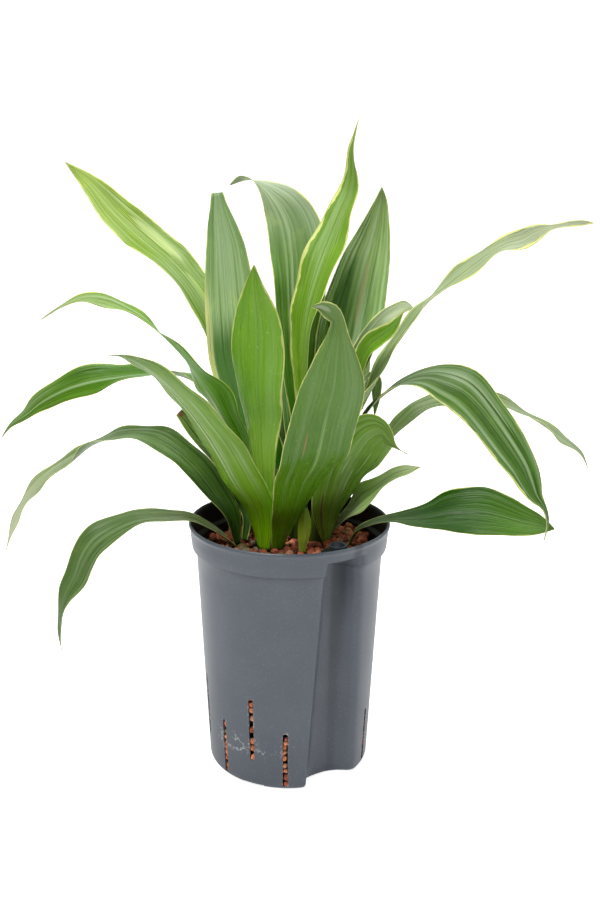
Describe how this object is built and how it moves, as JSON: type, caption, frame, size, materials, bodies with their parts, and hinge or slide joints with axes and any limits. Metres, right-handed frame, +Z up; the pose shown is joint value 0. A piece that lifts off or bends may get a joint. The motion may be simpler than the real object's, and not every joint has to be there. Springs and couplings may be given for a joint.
{
  "type": "potted plant",
  "caption": "Bushy dracaena with arching strap leaves on short stems, standing in clay granules in a tapered culture pot with a gauge channel.",
  "frame": {"origin": "centre of the pot's underside", "axes": "+Z up, -Y toward the side with the gauge channel and the broad front leaves, +X to the right seen from there"},
  "size_m": [0.4705, 0.3593, 0.4828],
  "materials": {
    "grey_plastic": "matte",
    "fired_clay": "matte",
    "stem_green": "satin",
    "leaf_green": "satin"
  },
  "bodies": {
    "root": {"clay_granules": "fired_clay", "leaf_back_broad": "leaf_green", "leaf_back_hook": "leaf_green", "leaf_bud_sheath": "leaf_green", "leaf_cut_tip": "leaf_green", "leaf_front_broad": "leaf_green", "leaf_front_left": "leaf_green", "leaf_front_upright": "leaf_green", "leaf_hanging_tip": "leaf_green", "leaf_left_arch": "leaf_green", "leaf_left_far": "leaf_green", "leaf_left_high": "leaf_green", "leaf_left_middle": "leaf_green", "leaf_left_rim": "leaf_green", "leaf_rear_left": "leaf_green", "leaf_rear_low": "leaf_green", "leaf_rear_middle": "leaf_green", "leaf_rear_right": "leaf_green", "leaf_rear_side": "leaf_green", "leaf_right_arch": "leaf_green", "leaf_right_behind": "leaf_green", "leaf_right_high": "leaf_green", "leaf_right_low": "leaf_green", "leaf_right_pale": "leaf_green", "leaf_right_rim": "leaf_green", "leaf_right_short": "leaf_green", "leaf_scarred": "leaf_green", "leaf_tallest": "leaf_green", "leaf_upright_left": "leaf_green", "leaf_young_narrow": "leaf_green", "pot": "grey_plastic", "shoot_front": "stem_green", "shoot_left": "stem_green", "shoot_right": "stem_green", "spear_back": "leaf_green", "spear_left": "leaf_green", "spear_right": "leaf_green", "stem_back": "stem_green", "stem_left": "stem_green", "stem_right": "stem_green"}
  },
  "joints": []
}
